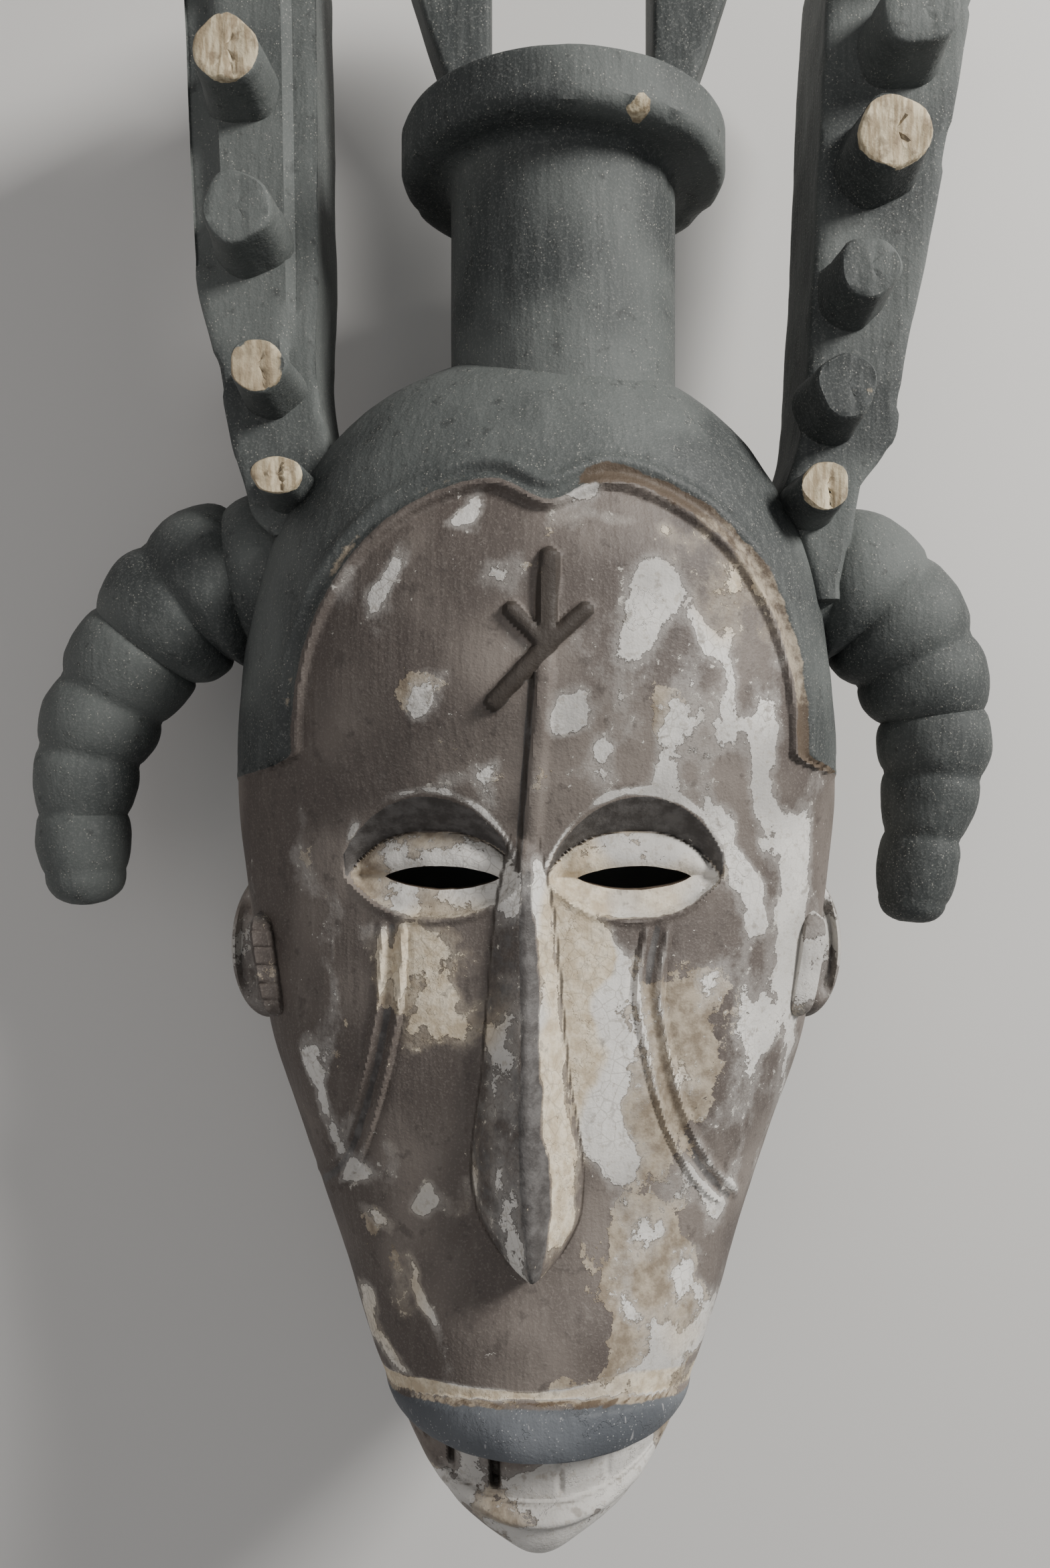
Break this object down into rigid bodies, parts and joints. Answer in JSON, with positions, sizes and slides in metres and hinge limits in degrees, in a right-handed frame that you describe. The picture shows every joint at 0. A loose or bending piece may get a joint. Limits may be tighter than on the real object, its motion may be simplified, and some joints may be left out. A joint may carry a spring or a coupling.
{
  "type": "igbo maiden mask",
  "caption": "Carved and painted wooden face mask with a long nose, slit eyes, ringed side braids, studded crest bands and a collared topknot.",
  "frame": {"origin": "middle of the mask's box, on the plane of its back rim", "axes": "+Z the way the face looks, +Y from the chin to the crest, +X to the viewer's right; the mask lies face up on its rim"},
  "size_m": [0.3336, 0.5598, 0.1603],
  "materials": {
    "painted_wood": "matte"
  },
  "bodies": {
    "root": {"mask": "painted_wood"}
  },
  "joints": []
}
